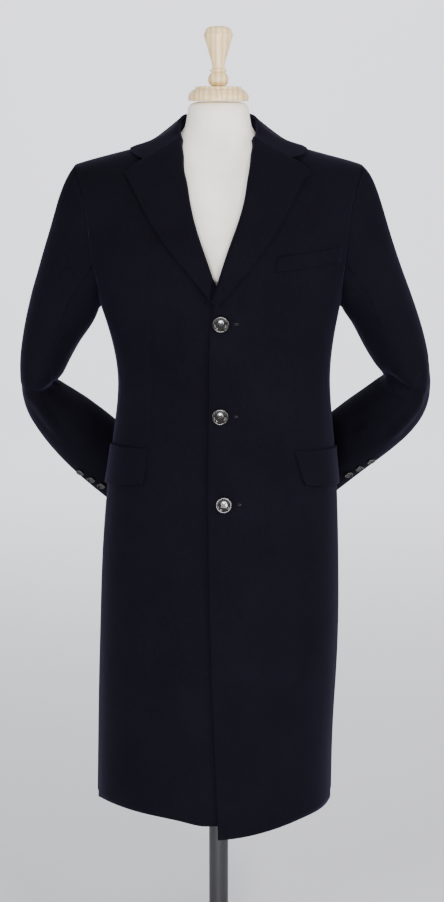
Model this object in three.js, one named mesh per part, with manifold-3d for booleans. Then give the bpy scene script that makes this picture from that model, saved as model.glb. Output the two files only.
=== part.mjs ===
// Long single-breasted wool overcoat with a notched lapel, buttoned up on a limbless dress form.
// Millimetres, +Z up, the wearer faces -Y and the wearer's left is +X.
// The origin is the centre of the underside of the round base, on the axis of the pole.
import * as THREE from 'three';
import { mergeVertices } from 'three/addons/utils/BufferGeometryUtils.js';
import Module from 'manifold-3d';

const wasm = await Module();
wasm.setup();

// ---------------------------------------------------------------- driving dimensions
const WALL = 3.0;             // coating cloth with its facing
const TRIM_WALL = 2.6;        // flaps, welt and collar
const SEAM_GAP = 0.32;        // between two pieces that are sewn together
const LIFT = 0.6;             // air under a piece that lies on a panel
const TUCK = 4.4;             // how far the right front passes below the left front

const SHOULDER_Z = 1430;      // end of the shoulder seam
const NECK_Z = 1480;          // neck end of the shoulder seam
const UNDERARM_Z = 1192;      // lowest point of the armhole
const HEM_Z = 335;            // hem at the sides and the back

const BUTTON_R = 13.7;
const BUTTON_T = 4.6;
const CUFF_BUTTON_R = 7.6;
const CUFF_BUTTON_T = 3.4;

const BASE_R = 205;
const BASE_T = 22;
const POLE_R = 17;

const DEG = Math.PI / 180;

// ---------------------------------------------------------------- small helpers
const lerp = (a, b, k) => a + (b - a) * k;
const ease = (k) => {
  const c = Math.min(1, Math.max(0, k));
  return c * c * (3 - 2 * c);
};
const ramp = (value, from, to) => ease((value - from) / (to - from));
const vec = (x, y, z) => new THREE.Vector3(x, y, z);

/** Smooth monotone curve through the rows of a table: column `col` against column 0. */
function column(rows, col) {
  const n = rows.length;
  const x = rows.map((row) => row[0]);
  const y = rows.map((row) => row[col]);
  const slope = [];
  for (let i = 0; i < n - 1; i += 1) {
    slope.push((y[i + 1] - y[i]) / (x[i + 1] - x[i]));
  }
  const m = [slope[0]];
  for (let i = 1; i < n - 1; i += 1) {
    const turns = slope[i - 1] * slope[i] <= 0;
    m.push(turns ? 0 : (2 * slope[i - 1] * slope[i]) / (slope[i - 1] + slope[i]));
  }
  m.push(slope[n - 2]);
  return (at) => {
    const v = Math.min(x[n - 1], Math.max(x[0], at));
    let i = 0;
    while (i < n - 2 && v > x[i + 1]) i += 1;
    const h = x[i + 1] - x[i];
    const k = (v - x[i]) / h;
    const k2 = k * k;
    const k3 = k2 * k;
    return (2 * k3 - 3 * k2 + 1) * y[i] + (k3 - 2 * k2 + k) * h * m[i]
      + (3 * k2 - 2 * k3) * y[i + 1] + (k3 - k2) * h * m[i + 1];
  };
}

// ---------------------------------------------------------------- the body of the coat
// One row for each level. half: half width at the widest, shift: sideways place of the middle,
// front, side, back: y of the front centre, the widest point and the back centre, power: fullness.
const BODY = [
  // z,   half, shift, front, side, back, power
  [300, 206, -8, -186, 2, 168, 2.3],
  [437, 205, -6, -180, 2, 162, 2.3],
  [560, 207, -1, -174, 3, 157, 2.3],
  [667, 207, 2, -168, 4, 154, 2.3],
  [753, 205, 3, -163, 5, 152, 2.3],
  [866, 199, 5.5, -156, 6, 148, 2.3],
  [967, 191, 8.5, -147, 7, 138, 2.3],
  [1054, 178, 10, -139, 8, 122, 2.3],
  [1100, 179, 9.5, -137, 8, 119, 2.3],
  [1150, 191, 6.5, -136, 9, 122, 2.3],
  [1192, 202, 3.5, -135, 10, 127, 2.3],
  [1228, 213, 2.5, -132, 10, 131, 2.3],
  [1261, 226, 1.5, -129, 10, 134, 2.3],
  [1291, 235, 0, -125, 10, 135, 2.3],
  [1333, 241, 0, -117, 10, 131, 2.3],
  [1373, 246, 0, -104, 10, 121, 2.25],
  [1402, 252, 0, -91, 10, 109, 2.2],
  [1420, 256, 0, -81, 10, 101, 2.15],
  [1430, 237, 0, -75, 10, 96, 2.1],
  [1444, 188, 0, -67, 10, 88, 2.05],
  [1458, 134, 1, -58, 10, 80, 2],
  [1470, 97, 1, -48, 10, 74, 2],
  [1480, 74, 1, -38, 10, 69, 2],
  [1492, 60, 1, -28, 10, 60, 2],
];
const body = {
  half: column(BODY, 1),
  shift: column(BODY, 2),
  front: column(BODY, 3),
  side: column(BODY, 4),
  back: column(BODY, 5),
  power: column(BODY, 6),
};

// Soft upright folds of the skirt and the back. at: degrees round from the front centre,
// width: degrees, depth: mm outward, from and to: the heights between which it fades in and out.
const FOLDS = [
  // at, width, depth, from, to
  [-97, 5, 5, 820, 560],
  [-84, 4, -3, 760, 520],
  [98, 5, 6, 900, 600],
  [88, 4, -4, 860, 560],
  [150, 9, 6, 860, 480],
  [-150, 9, 6, 860, 480],
  [128, 8, -4, 860, 520],
  [-128, 8, -4, 860, 520],
  [32, 12, 3, 760, 460],
  [-34, 12, 3, 760, 460],
];

/** Outer surface of the coat body, `turn` radians round from the front centre at height z. */
function bodyPoint(turn, z, out = 0) {
  const p = body.power(z);
  const s = Math.sin(turn);
  const c = Math.cos(turn);
  const full = (Math.abs(s) ** p + Math.abs(c) ** p) ** (-1 / p);
  const side = body.side(z);
  const depth = c > 0 ? side - body.front(z) : body.back(z) - side;
  let swell = out;
  for (const [at, width, height, from, to] of FOLDS) {
    const away = (turn / DEG - at) / width;
    swell += height * Math.exp(-away * away) * ramp(z, from, to);
  }
  const x = body.half(z) * full * s;
  const y = -depth * full * c;
  const long = Math.hypot(x, y);
  const grow = long > 1 ? 1 + swell / long : 1;
  return vec(body.shift(z) + x * grow, side + y * grow, z);
}

/** Outward normal of the coat body. */
function bodyNormal(turn, z) {
  const step = 0.004;
  const rise = 2;
  const across = bodyPoint(turn + step, z).sub(bodyPoint(turn - step, z));
  const up = bodyPoint(turn, z + rise).sub(bodyPoint(turn, z - rise));
  return across.cross(up).normalize();
}

/** Angle of the front of the body where it stands x to the side at height z. */
function turnAt(x, z) {
  const p = body.power(z);
  const q = Math.min(0.9999, Math.abs(x - body.shift(z)) / body.half(z));
  return Math.sign(x - body.shift(z)) * Math.atan2(q, (1 - q ** p) ** (1 / p));
}

/** n + 1 evenly spaced [turn, z] points along a smooth line through [turn, z] points. */
function drawn(points, n) {
  const MM_PER_RADIAN = 170;
  const line = new THREE.CatmullRomCurve3(
    points.map(([turn, z]) => vec(turn * MM_PER_RADIAN, z, 0)), false, 'centripetal');
  line.arcLengthDivisions = 400;
  return line.getSpacedPoints(n).map((v) => [v.x / MM_PER_RADIAN, v.y]);
}
const degrees = (points) => points.map(([turn, z]) => [turn * DEG, z]);
const places = (points) => points.map(([x, z]) => [turnAt(x, z), z]);

const TOP_PULL = 12;          // keeps the bend of the top line close to the shoulder seam

/** Rows of [turn, z] that fill the field between a left and a right line, bent to a bottom and a top line. */
function field(left, right, bottom, top) {
  const rows = left.length - 1;
  const cols = bottom.length - 1;
  const grid = [];
  for (let i = 0; i <= rows; i += 1) {
    const v = i / rows;
    const row = [];
    for (let j = 0; j <= cols; j += 1) {
      const u = j / cols;
      row.push([0, 1].map((k) => {
        const across = lerp(left[i][k], right[i][k], u);
        const low = bottom[j][k] - lerp(left[0][k], right[0][k], u);
        const high = top[j][k] - lerp(left[rows][k], right[rows][k], u);
        return across + (1 - v) * low + v ** TOP_PULL * high;
      }));
    }
    grid.push(row);
  }
  return grid;
}

// ---------------------------------------------------------------- closed sheets of cloth
/** Closed wall below a grid of { p, n } points; `gap` pulls its four edges in. */
function sheet(grid, wall, gap = SEAM_GAP) {
  const rows = grid.length;
  const cols = grid[0].length;
  const top = [];
  const low = [];
  for (let i = 0; i < rows; i += 1) {
    for (let j = 0; j < cols; j += 1) {
      const { p, n } = grid[i][j];
      const q = p.clone();
      const pull = (k, l) => q.add(grid[k][l].p.clone().sub(p).setLength(gap / 2));
      if (i === 0) pull(1, j);
      if (i === rows - 1) pull(rows - 2, j);
      if (j === 0) pull(i, 1);
      if (j === cols - 1) pull(i, cols - 2);
      top.push(q);
      low.push(q.clone().addScaledVector(n, -wall));
    }
  }
  const points = [...top, ...low];
  const under = rows * cols;
  const at = (i, j) => i * cols + j;
  const index = [];
  const quad = (a, b, c, d) => index.push(a, b, c, a, c, d);
  for (let i = 0; i < rows - 1; i += 1) {
    for (let j = 0; j < cols - 1; j += 1) {
      quad(at(i, j), at(i, j + 1), at(i + 1, j + 1), at(i + 1, j));
      quad(under + at(i, j), under + at(i + 1, j), under + at(i + 1, j + 1), under + at(i, j + 1));
    }
  }
  const rim = (a, b) => quad(a, a + under, b + under, b);
  const backRim = (a, b) => quad(a + under, b + under, b, a);
  for (let j = 0; j < cols - 1; j += 1) {
    rim(at(0, j), at(0, j + 1));
    backRim(at(rows - 1, j + 1), at(rows - 1, j));
  }
  for (let i = 0; i < rows - 1; i += 1) {
    rim(at(i + 1, 0), at(i, 0));
    backRim(at(i, cols - 1), at(i + 1, cols - 1));
  }
  return solid(points, index);
}

/** Indexed geometry whose faces point out. */
function solid(points, index) {
  let volume = 0;
  for (let k = 0; k < index.length; k += 3) {
    const [a, b, c] = [points[index[k]], points[index[k + 1]], points[index[k + 2]]];
    volume += a.dot(b.clone().cross(c));
  }
  const faced = [];
  for (let k = 0; k < index.length; k += 3) {
    faced.push(index[k], ...(volume < 0 ? [index[k + 2], index[k + 1]] : [index[k + 1], index[k + 2]]));
  }
  const geometry = new THREE.BufferGeometry();
  geometry.setAttribute('position', new THREE.Float32BufferAttribute(points.flatMap((v) => v.toArray()), 3));
  geometry.setIndex(faced);
  return geometry;
}

/** Body grid points: out(z, j) says how far the points of column j stand off the surface. */
function onBody(grid, out = () => 0) {
  return grid.map((row) => row.map(([turn, z], j) => {
    const n = bodyNormal(turn, z);
    return { p: bodyPoint(turn, z).addScaledVector(n, out(z, j)), n };
  }));
}

// ---------------------------------------------------------------- seams
const ROWS_LOW = 12;          // rows of a panel below the armhole
const ROWS_ARM = 10;          // rows beside the armhole
const COLS_FRONT = 10;
const COLS_BACK = 8;
const COLS_SIDE = 4;

// Each line is for one side of the wearer; sign is +1 for the wearer's left and -1 for the right.
const armFront = (sign) => drawn(degrees([
  [sign * 72, 1219], [sign * 66, 1240], [sign * 62, 1268], [sign * 60, 1305], [sign * 60, 1345],
  [sign * 62, 1388], [sign * 65, 1414], [sign * 73, 1426], [sign * 90, SHOULDER_Z],
]), ROWS_ARM);
const armBack = (sign) => drawn(degrees([
  [sign * 109, 1221], [sign * 115, 1246], [sign * 119, 1280], [sign * 120, 1320], [sign * 119, 1362],
  [sign * 117, 1394], [sign * 114, 1415], [sign * 106, 1426], [sign * 90, SHOULDER_Z],
]), ROWS_ARM);
const armLow = (sign) => drawn(degrees([
  [sign * 72, 1219], [sign * 79, 1201], [sign * 90, UNDERARM_Z], [sign * 101, 1202], [sign * 109, 1221],
]), COLS_SIDE);
const seamFront = (sign) => drawn(degrees([
  [sign * 78, HEM_Z + 1], [sign * 76, 620], [sign * 73, 900], [sign * 70, 1075], [sign * 72, 1219],
]), ROWS_LOW);
const seamBack = (sign) => drawn(degrees([
  [sign * 106, HEM_Z], [sign * 107, 620], [sign * 109, 900], [sign * 111, 1075], [sign * 109, 1221],
]), ROWS_LOW);
const shoulder = (sign, cols) => drawn(
  [0, 1, 2, 3, 4].map((k) => [sign * 90 * DEG, lerp(NECK_Z, SHOULDER_Z, k / 4)]), cols);

// Front edges and roll lines as [x, z]; the left front lies over the right front.
const EDGE_LEFT = [
  [-1, 314], [-5, 430], [-11, 560], [-15, 690], [-17, 820], [-17, 1000], [-17, 1150], [-11, 1205],
];
const ROLL_LEFT = [
  [-11, 1205], [0, 1232], [10, 1264], [21, 1297], [35, 1334], [46, 1372], [53, 1413], [55, 1434], [58, 1455],
];
const EDGE_RIGHT = [[26, 337], [26, 520], [26, 700], [26, 900], [26, 1060], [25, 1175], [17, 1204]];
const ROLL_RIGHT = [
  [17, 1204], [4, 1222], [-9, 1250], [-23, 1285], [-38, 1325], [-49, 1369], [-57, 1413], [-59, 1434],
  [-62, 1455],
];
const neckTurn = (sign) => [sign * 52 * DEG, 1473];
const rollLine = (table, sign, n) => drawn([
  ...places(table), neckTurn(sign), [sign * 90 * DEG, NECK_Z],
], n);

// ---------------------------------------------------------------- body panels
const blend = (a, b, k) => [lerp(a[0], b[0], k), lerp(a[1], b[1], k)];

/** Left and right lines of a front, from the hem to the neck end of the shoulder seam. */
function frontLines(sign) {
  const edge = sign > 0 ? EDGE_LEFT : EDGE_RIGHT;
  const roll = sign > 0 ? ROLL_LEFT : ROLL_RIGHT;
  return [
    [...drawn(places(edge), ROWS_LOW), ...rollLine(roll, sign, ROWS_ARM).slice(1)],
    [...seamFront(sign), ...armFront(sign).slice(1)],
  ];
}

const HEM_LEVEL = 0.6;        // share of a front's width over which its hem comes up to the side
const RISE_RIGHT = 17;        // how far the hem of the right front curves up between its ends
const RISE_ROUND = 0.7;

function frontHem(start, end, cols, rise = 0) {
  const line = [];
  for (let j = 0; j <= cols; j += 1) {
    const u = j / cols;
    const level = lerp(start[1], end[1], ramp(u, 0, HEM_LEVEL));
    line.push([lerp(start[0], end[0], u), level + rise * Math.abs(Math.sin(Math.PI * u)) ** RISE_ROUND]);
  }
  return line;
}

function leftFront() {
  const [left, right] = frontLines(1);
  const grid = field(left, right, frontHem(left[0], right[0], COLS_FRONT), shoulder(1, COLS_FRONT));
  return sheet(onBody(grid), WALL);
}

/** The right front has two narrow columns where it dips below the edge of the left front. */
function rightFront() {
  const [left, right] = frontLines(-1);
  const [over] = frontLines(1);
  const CLEAR = 3.2 * DEG;      // from the edge of the left front to the deepest of the dip
  const DIP = 5 * DEG;          // over which the right front rises again
  const SHARE = 0.12;           // of the width that the dip takes above the buttons
  const narrow = (i) => SHARE * (1 - ramp(i, ROWS_LOW, left.length));
  const start = left.map((point, i) => (i <= ROWS_LOW
    ? [over[i][0] - CLEAR - DIP, point[1]]
    : blend(point, right[i], narrow(i))));
  const low = left.map((point, i) => (i <= ROWS_LOW
    ? [over[i][0] - CLEAR, point[1]]
    : blend(point, start[i], 0.5)));
  const cols = COLS_FRONT - 2;
  const hem = frontHem(start[0], right[0], cols, RISE_RIGHT);
  const rest = field(start, right, hem, shoulder(-1, cols));
  const grid = rest.map((row, i) => [left[i], low[i], ...row]);
  const last = grid.length - 1;
  grid[last] = shoulder(-1, COLS_FRONT);
  const [DIP_LOW, DIP_HIGH] = [1252, 1292];   // heights between which the dip ends
  const dip = (z, j) => (j <= 1 ? -TUCK * (1 - ramp(z, DIP_LOW, DIP_HIGH)) : 0);
  return sheet(onBody(grid, dip), WALL);
}

function sidePanel(sign) {
  const [a, b] = [seamFront(sign), seamBack(sign)];
  const bottom = drawn([a[0], [sign * 92 * DEG, HEM_Z - 2], b[0]], COLS_SIDE);
  return sheet(onBody(field(a, b, bottom, armLow(sign))), WALL);
}

function backPanel(sign) {
  const centre = drawn(degrees([
    [sign * 180, HEM_Z + 1], [sign * 180, 700], [sign * 180, 1100], [sign * 180, 1221],
  ]), ROWS_LOW);
  const centreTop = drawn(degrees([
    [sign * 180, 1221], [sign * 180, 1300], [sign * 180, 1400], [sign * 180, NECK_Z + 2],
  ]), ROWS_ARM);
  const left = [...centre, ...centreTop.slice(1)];
  const right = [...seamBack(sign), ...armBack(sign).slice(1)];
  const bottom = drawn([left[0], [sign * 143 * DEG, HEM_Z - 1], right[0]], COLS_BACK);
  const NECK_COLS = 3;
  const neck = drawn(degrees([
    [sign * 180, NECK_Z + 2], [sign * 150, NECK_Z + 1], [sign * 118, NECK_Z], [sign * 90, NECK_Z],
  ]), NECK_COLS);
  const top = [...neck, ...shoulder(sign, COLS_BACK - NECK_COLS).slice(1)];
  return sheet(onBody(field(left, right, bottom, top)), WALL);
}

// ---------------------------------------------------------------- sleeves
// A row for each ring of a sleeve. outX, outZ: outer edge seen from the front, inX, inZ: inner edge,
// y: middle of the ring, deep: half of its depth. The first row is the armhole.
const SLEEVE_RIGHT = [
  // outX, outZ, inX, inZ, y, deep
  [237, 1430, 202, 1192, 8, 70],
  [250, 1414, 208, 1176, 10, 71],
  [262, 1386, 215, 1161, 13, 71],
  [273, 1349, 226, 1144, 17, 70],
  [289, 1300, 239, 1126, 22, 69],
  [306, 1246, 250, 1105, 28, 67],
  [321, 1195, 260, 1086, 34, 65],
  [332, 1148, 268, 1071, 40, 63],
  [339, 1106, 275, 1061, 46, 61],
  [342, 1068, 279, 1056, 53, 59],
  [341, 1032, 279, 1054, 60, 57],
  [334, 1000, 271, 1050, 70, 55],
  [318, 968, 257, 1041, 83, 53],
  [297, 935, 238, 1027, 98, 51],
  [272, 902, 214, 1007, 116, 49],
  [246, 872, 192, 986, 134, 47],
  [221, 846, 172, 965, 151, 46],
  [196, 822, 152, 942, 167, 45],
];
const SLEEVE_LEFT = [
  // outX, outZ, inX, inZ, y, deep
  [237, 1430, 205, 1192, 8, 70],
  [252, 1418, 212, 1179, 10, 71],
  [264, 1388, 221, 1168, 13, 71],
  [277, 1347, 231, 1154, 17, 70],
  [294, 1296, 241, 1135, 22, 69],
  [315, 1241, 253, 1112, 28, 67],
  [334, 1194, 263, 1096, 34, 65],
  [350, 1148, 273, 1083, 40, 63],
  [361, 1106, 281, 1073, 46, 61],
  [367, 1064, 285, 1067, 53, 59],
  [368, 1028, 283, 1063, 60, 57],
  [357, 992, 274, 1057, 70, 55],
  [337, 962, 258, 1043, 83, 53],
  [312, 935, 238, 1026, 98, 51],
  [284, 909, 216, 1007, 116, 49],
  [257, 883, 195, 987, 134, 47],
  [231, 858, 175, 967, 151, 46],
  [206, 834, 156, 946, 167, 45],
];
const FRONT_PITCH = 2;        // armhole point where the forearm seam starts, up from the side seam
const BACK_PITCH = 5;         // armhole point where the elbow seam starts, up from the side seam
const ARMHOLE_GAP = 0.8;      // air between the sleeve head and the edge of the armhole
const ARMHOLE_LIFT = 0.7;     // how far the sleeve head stands off the body there
const HEAD_ROWS = 5;          // rings over which the armhole shape turns into a plain ring
const TWIST = 84 * DEG;      // the forearm is turned, so its elbow seam comes round to the lower edge
const TWIST_ROWS = [2, 16];   // rings between which it turns

/** The armhole loop as body [turn, z] points: up the front, down the back, and under the arm. */
function armhole(sign) {
  const up = armFront(sign);
  const down = armBack(sign).reverse();
  const under = armLow(sign).reverse();
  return [...up, ...down.slice(1), ...under.slice(1, -1)];
}

/** Rings of a sleeve as { p, n } grids, one row for each ring, the first point repeated at the end. */
function sleeveRings(sign) {
  const table = sign > 0 ? SLEEVE_LEFT : SLEEVE_RIGHT;
  const loop = armhole(sign);
  const start = loop.map(([turn, z]) => bodyPoint(turn, z));
  const wallDown = loop.map(([turn, z]) => bodyNormal(turn, z));
  const middle = table.map(([ox, oz, ix, iz, y]) => vec(sign * (ox + ix) / 2, y, (oz + iz) / 2));
  const frames = table.map(([ox, oz, ix, iz, , deep], i) => {
    const before = middle[Math.max(0, i - 1)];
    const after = middle[Math.min(table.length - 1, i + 1)];
    const along = after.clone().sub(before).normalize();
    const wide = vec(sign * (ox - ix) / 2, 0, (oz - iz) / 2);
    const half = wide.length();
    wide.normalize();
    const deepWay = along.clone().cross(wide).normalize();
    if (deepWay.y > 0) deepWay.negate();
    return { wide, half, deepWay, deep };
  });
  const first = frames[0];
  const shape = start.map((point) => {
    const off = point.clone().sub(middle[0]);
    const a = off.dot(first.wide) / first.half;
    const b = off.dot(first.deepWay) / first.deep;
    off.addScaledVector(first.wide, -a * first.half).addScaledVector(first.deepWay, -b * first.deep);
    return { a, b, rest: off, angle: Math.atan2(b, a) };
  });
  const rings = frames.map(({ wide, half, deepWay, deep }, i) => shape.map(({ a, b, rest, angle }, k) => {
    if (i === 0) return start[k].clone();
    const w = ease(i / HEAD_ROWS);
    const round = angle + TWIST * ramp(i, ...TWIST_ROWS);
    const p = middle[i].clone();
    p.addScaledVector(wide, half * lerp(a, Math.cos(round), w));
    p.addScaledVector(deepWay, deep * lerp(b, Math.sin(round), w));
    return p.addScaledVector(rest, 1 - w);
  }));
  const n = shape.length;
  start.forEach((point, k) => {
    const along = start[(k + 1) % n].clone().sub(start[(k + n - 1) % n]);
    const away = along.cross(wallDown[k]).normalize();
    if (away.dot(middle[0].clone().sub(point)) < 0) away.negate();
    rings[0][k].addScaledVector(away, ARMHOLE_GAP).addScaledVector(wallDown[k], ARMHOLE_LIFT);
  });
  return rings.map((ring, i) => {
    const row = ring.map((p, k) => {
      if (i === 0) return { p, n: wallDown[k] };
      const across = ring[(k + 1) % n].clone().sub(ring[(k + n - 1) % n]);
      const along = rings[Math.min(i + 1, rings.length - 1)][k].clone().sub(rings[i - 1][k]);
      const normal = across.cross(along).normalize();
      if (normal.dot(p.clone().sub(middle[i])) < 0) normal.negate();
      return { p, n: normal };
    });
    row.push(row[0]);
    return row;
  });
}

/** Points from column `from` to column `to` of a ring grid, going round past the last one. */
function strip(rings, from, to) {
  const n = rings[0].length - 1;
  return rings.map((row) => {
    const part = [];
    for (let k = from; k <= to; k += 1) part.push(row[k % n]);
    return part;
  });
}
const BACK_SEAM = 2 * ROWS_ARM - BACK_PITCH;
const AROUND = 2 * ROWS_ARM + COLS_SIDE;
const sleevesOf = { 1: sleeveRings(1), '-1': sleeveRings(-1) };
const topSleeve = (sign) => sheet(strip(sleevesOf[sign], FRONT_PITCH, BACK_SEAM), WALL);
const underSleeve = (sign) => sheet(strip(sleevesOf[sign], BACK_SEAM, AROUND + FRONT_PITCH), WALL);

// ---------------------------------------------------------------- lapels
// Roll line and outer edge of each lapel as [x, z], from the lower end up.
const LAPEL_ROWS = 12;
const LAPEL_COLS = 5;
const NOTCH_COL = 3;          // column where the gorge seam ends and the notch opens
const LAPEL_LIFT = 1.6;
const ROLL_STAND = 4.5;       // how much higher the cloth stands at the roll than at its edge
const NECK_STAND = 2;         // further rise of the roll near the neck
const ROLL_REACH = 4.9;       // how far the roll stands out past the roll line
const NECK_REACH = 1.6;       // further reach of the roll near the neck
const ROLL_ROUND = [0.5, -0.6];   // reach of the lower and the upper point of the rounded roll
const ROLL_UNDER = 0.6;       // how far the lower point lies below the front
const ROLL_SHOULDER = 2.4;    // how far the upper point lies below the top of the roll
const ROLL_IN = 0.03;         // share of the width where the flat of the lapel begins
const LAPEL_LEFT = {
  roll: [
    [-9, 1211], [0, 1232], [10, 1264], [21, 1297], [35, 1334], [46, 1372], [53, 1413], [55.5, 1438],
    [60, 1466],
  ],
  edge: [[-3, 1205], [14, 1221], [31, 1243], [61, 1277], [95, 1327], [123, 1376], [146, 1418], [149, 1419]],
};
const LAPEL_RIGHT = {
  roll: [
    [-10, 1248], [-16, 1264], [-24, 1285], [-38, 1325], [-49, 1369], [-57, 1413], [-60, 1440], [-63, 1466],
  ],
  edge: [[-15, 1217], [-32, 1238], [-49, 1259], [-79, 1294], [-108, 1336], [-135, 1385], [-152, 1417]],
};
const NOTCH = { 1: [119, 1438.5], '-1': [-121, 1437] };

/** Outside of a lapel, which turns over at its roll line and lies on the front. */
function lapelGrid(sign) {
  const table = sign > 0 ? LAPEL_LEFT : LAPEL_RIGHT;
  const roll = drawn(places(table.roll), LAPEL_ROWS);
  const edge = drawn(places(table.edge), LAPEL_ROWS);
  const notch = places([NOTCH[sign]])[0];
  return roll.map((start, i) => {
    const end = edge[i];
    const top = i === LAPEL_ROWS;
    const base = bodyPoint(...start);
    const n0 = bodyNormal(...start);
    const open = base.clone().sub(bodyPoint(...blend(start, top ? notch : end, 0.1))).normalize();
    const rise = (k) => LAPEL_LIFT + WALL + ROLL_STAND * (1 - k) ** 2 * ramp(i, 0, 4)
      + NECK_STAND * ramp(i, 7, 10) * (1 - k);
    const reach = ROLL_REACH + NECK_REACH * ramp(i, 8, LAPEL_ROWS);
    const under = base.clone().addScaledVector(open, reach + ROLL_ROUND[0]).addScaledVector(n0, -ROLL_UNDER);
    const upper = base.clone().addScaledVector(open, reach + ROLL_ROUND[1])
      .addScaledVector(n0, rise(0) - ROLL_SHOULDER);
    const row = [{ p: under, n: open.clone() }, { p: upper, n: open.clone().add(n0).normalize() }];
    for (let j = 0; j <= LAPEL_COLS; j += 1) {
      const k = j / LAPEL_COLS;
      let spot = blend(start, end, lerp(ROLL_IN, 1, k));
      if (top && j <= NOTCH_COL) spot = blend(start, notch, lerp(ROLL_IN, 1, j / NOTCH_COL));
      if (top && j > NOTCH_COL) spot = blend(notch, end, (j - NOTCH_COL) / (LAPEL_COLS - NOTCH_COL));
      const n = bodyNormal(...spot);
      row.push({ p: bodyPoint(...spot).addScaledVector(n, rise(k)), n });
    }
    return row;
  });
}
const lapelsOf = { 1: lapelGrid(1), '-1': lapelGrid(-1) };

// ---------------------------------------------------------------- collar
// A row for each station of the collar from the gorge round to the centre back, for one side.
// foldX, foldY, foldZ: the top fold, edgeTurn, edgeZ: outer edge on the body, footZ: foot of the stand,
// swell: how far the fall bulges between its fold and its edge.
const COLLAR = [
  // foldX, foldY, foldZ, edgeTurn, edgeZ, footZ, swell
  [61, -41, 1469, 55, 1447, 1462, 0],
  [65, -28, 1484, 71, 1453, 1470, 0],
  [67, -9, 1497, 85, 1459, 1477, -4],
  [65, 12, 1505, 96, 1461, 1481, -5],
  [59, 33, 1511, 112, 1459, 1482, -1],
  [47, 54, 1514, 133, 1453, 1483, 5],
  [26, 68, 1516, 157, 1447, 1484, 8],
  [0, 73, 1517, 180, 1444, 1484, 8],
];
const COLLAR_STEPS = 9;       // stations on each half of the finished collar
const FALL_COLS = 6;
const TIP = { 1: [147, 1447.5], '-1': [-140, 1447] };   // outer corner of the collar as [x, z]
const TIP_STAND = 1.3;        // further air below the tip
const FALL_STAND = 1;         // least air below the fall, beyond LIFT
const FRONT_STAND = 1.6;      // further air at the two stations nearest the gorge
const LIP_IN = 4;             // the inner lip of the fold: how far in and down it turns
const LIP_DOWN = 3.5;

/** Stations of the whole collar, from the wearer's right notch round the back to the left one. */
function collarStations() {
  const lines = [0, 1, 2, 3, 4, 5, 6].map((col) => column(COLLAR.map((row, i) => [i, ...row]), col + 1));
  const half = [];
  for (let i = 0; i <= COLLAR_STEPS; i += 1) {
    half.push(lines.map((line) => line(i / COLLAR_STEPS * (COLLAR.length - 1))));
  }
  const right = half.map((row) => ({ sign: -1, row }));
  const left = half.slice(0, -1).reverse().map((row) => ({ sign: 1, row }));
  return [...right, ...left];
}

/** Moves a point out along the body's normal until it is at least `clear` mm off the coat body. */
function keepOff(point, clear) {
  const q = point.clone();
  for (let pass = 0; pass < 4; pass += 1) {
    const z = q.z;
    const side = body.side(z);
    const forward = side - q.y;
    const depth = forward > 0 ? side - body.front(z) : body.back(z) - side;
    const turn = Math.atan2((q.x - body.shift(z)) / body.half(z), forward / depth);
    const n = bodyNormal(turn, z);
    const off = q.clone().sub(bodyPoint(turn, z)).dot(n);
    if (off < clear) q.addScaledVector(n, clear - off);
  }
  return q;
}

/** Front end of the fall: along the gorge seam on the lapel's top row, then along the notch to the tip. */
function collarEnd(sign) {
  const gorge = lapelsOf[sign][LAPEL_ROWS].slice(0, NOTCH_COL + 3);
  const [notch, tip] = places([NOTCH[sign], TIP[sign]]);
  const free = [0.5, 1].map((k) => {
    const spot = blend(notch, tip, k);
    const n = bodyNormal(...spot);
    return { p: bodyPoint(...spot).addScaledVector(n, LIFT + TRIM_WALL + TIP_STAND * (2 - k)), n };
  });
  return [...gorge, ...free];
}

function collarFall() {
  const stations = collarStations();
  const outer = stations.map(({ sign, row }, i) => {
    const nearFront = Math.min(i, stations.length - 1 - i) <= 2;
    const clear = LIFT + TRIM_WALL + FALL_STAND + (nearFront ? FRONT_STAND : 0);
    const [fx, fy, fz, edgeTurn, edgeZ, , swell] = row;
    const fold = vec(sign * fx, fy, fz);
    const turn = sign * edgeTurn * DEG;
    const n = bodyNormal(turn, edgeZ);
    const edge = bodyPoint(turn, edgeZ).addScaledVector(n, LIFT + TRIM_WALL);
    const points = [];
    for (let j = 0; j <= FALL_COLS; j += 1) {
      const k = j / FALL_COLS;
      const bulge = Math.sin(Math.PI * k ** 0.7) * swell;
      const p = fold.clone().lerp(edge, k).addScaledVector(n, bulge);
      points.push(keepOff(p, clear));
    }
    const inward = vec(-sign * fx, -(fy - 10), 0).normalize();
    const lip = fold.clone().addScaledVector(inward, LIP_IN).add(vec(0, 0, -LIP_DOWN));
    return [lip, ...points];
  });
  const ends = [collarEnd(-1), collarEnd(1)];
  outer[0] = ends[0].map(({ p }) => p);
  outer[outer.length - 1] = ends[1].map(({ p }) => p);
  const grid = withNormals(outer, (p) => p.clone().sub(vec(0, 10, 1380)));
  grid[0] = ends[0];
  grid[grid.length - 1] = ends[1];
  return sheet(grid, TRIM_WALL);
}

/** Adds normals to a plain grid of points; outside(p) points roughly out of the cloth. */
function withNormals(grid, outside) {
  const rows = grid.length;
  const cols = grid[0].length;
  return grid.map((row, i) => row.map((p, j) => {
    const across = row[Math.min(j + 1, cols - 1)].clone().sub(row[Math.max(j - 1, 0)]);
    const along = grid[Math.min(i + 1, rows - 1)][j].clone().sub(grid[Math.max(i - 1, 0)][j]);
    const n = across.cross(along).normalize();
    if (n.dot(outside(p)) < 0) n.negate();
    return { p, n };
  }));
}

const STAND_TOP_IN = 4.2;     // the stand lies inside and below the fold
const STAND_TOP_DOWN = 7.3;
const STAND_FOOT_IN = 2.2;

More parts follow.
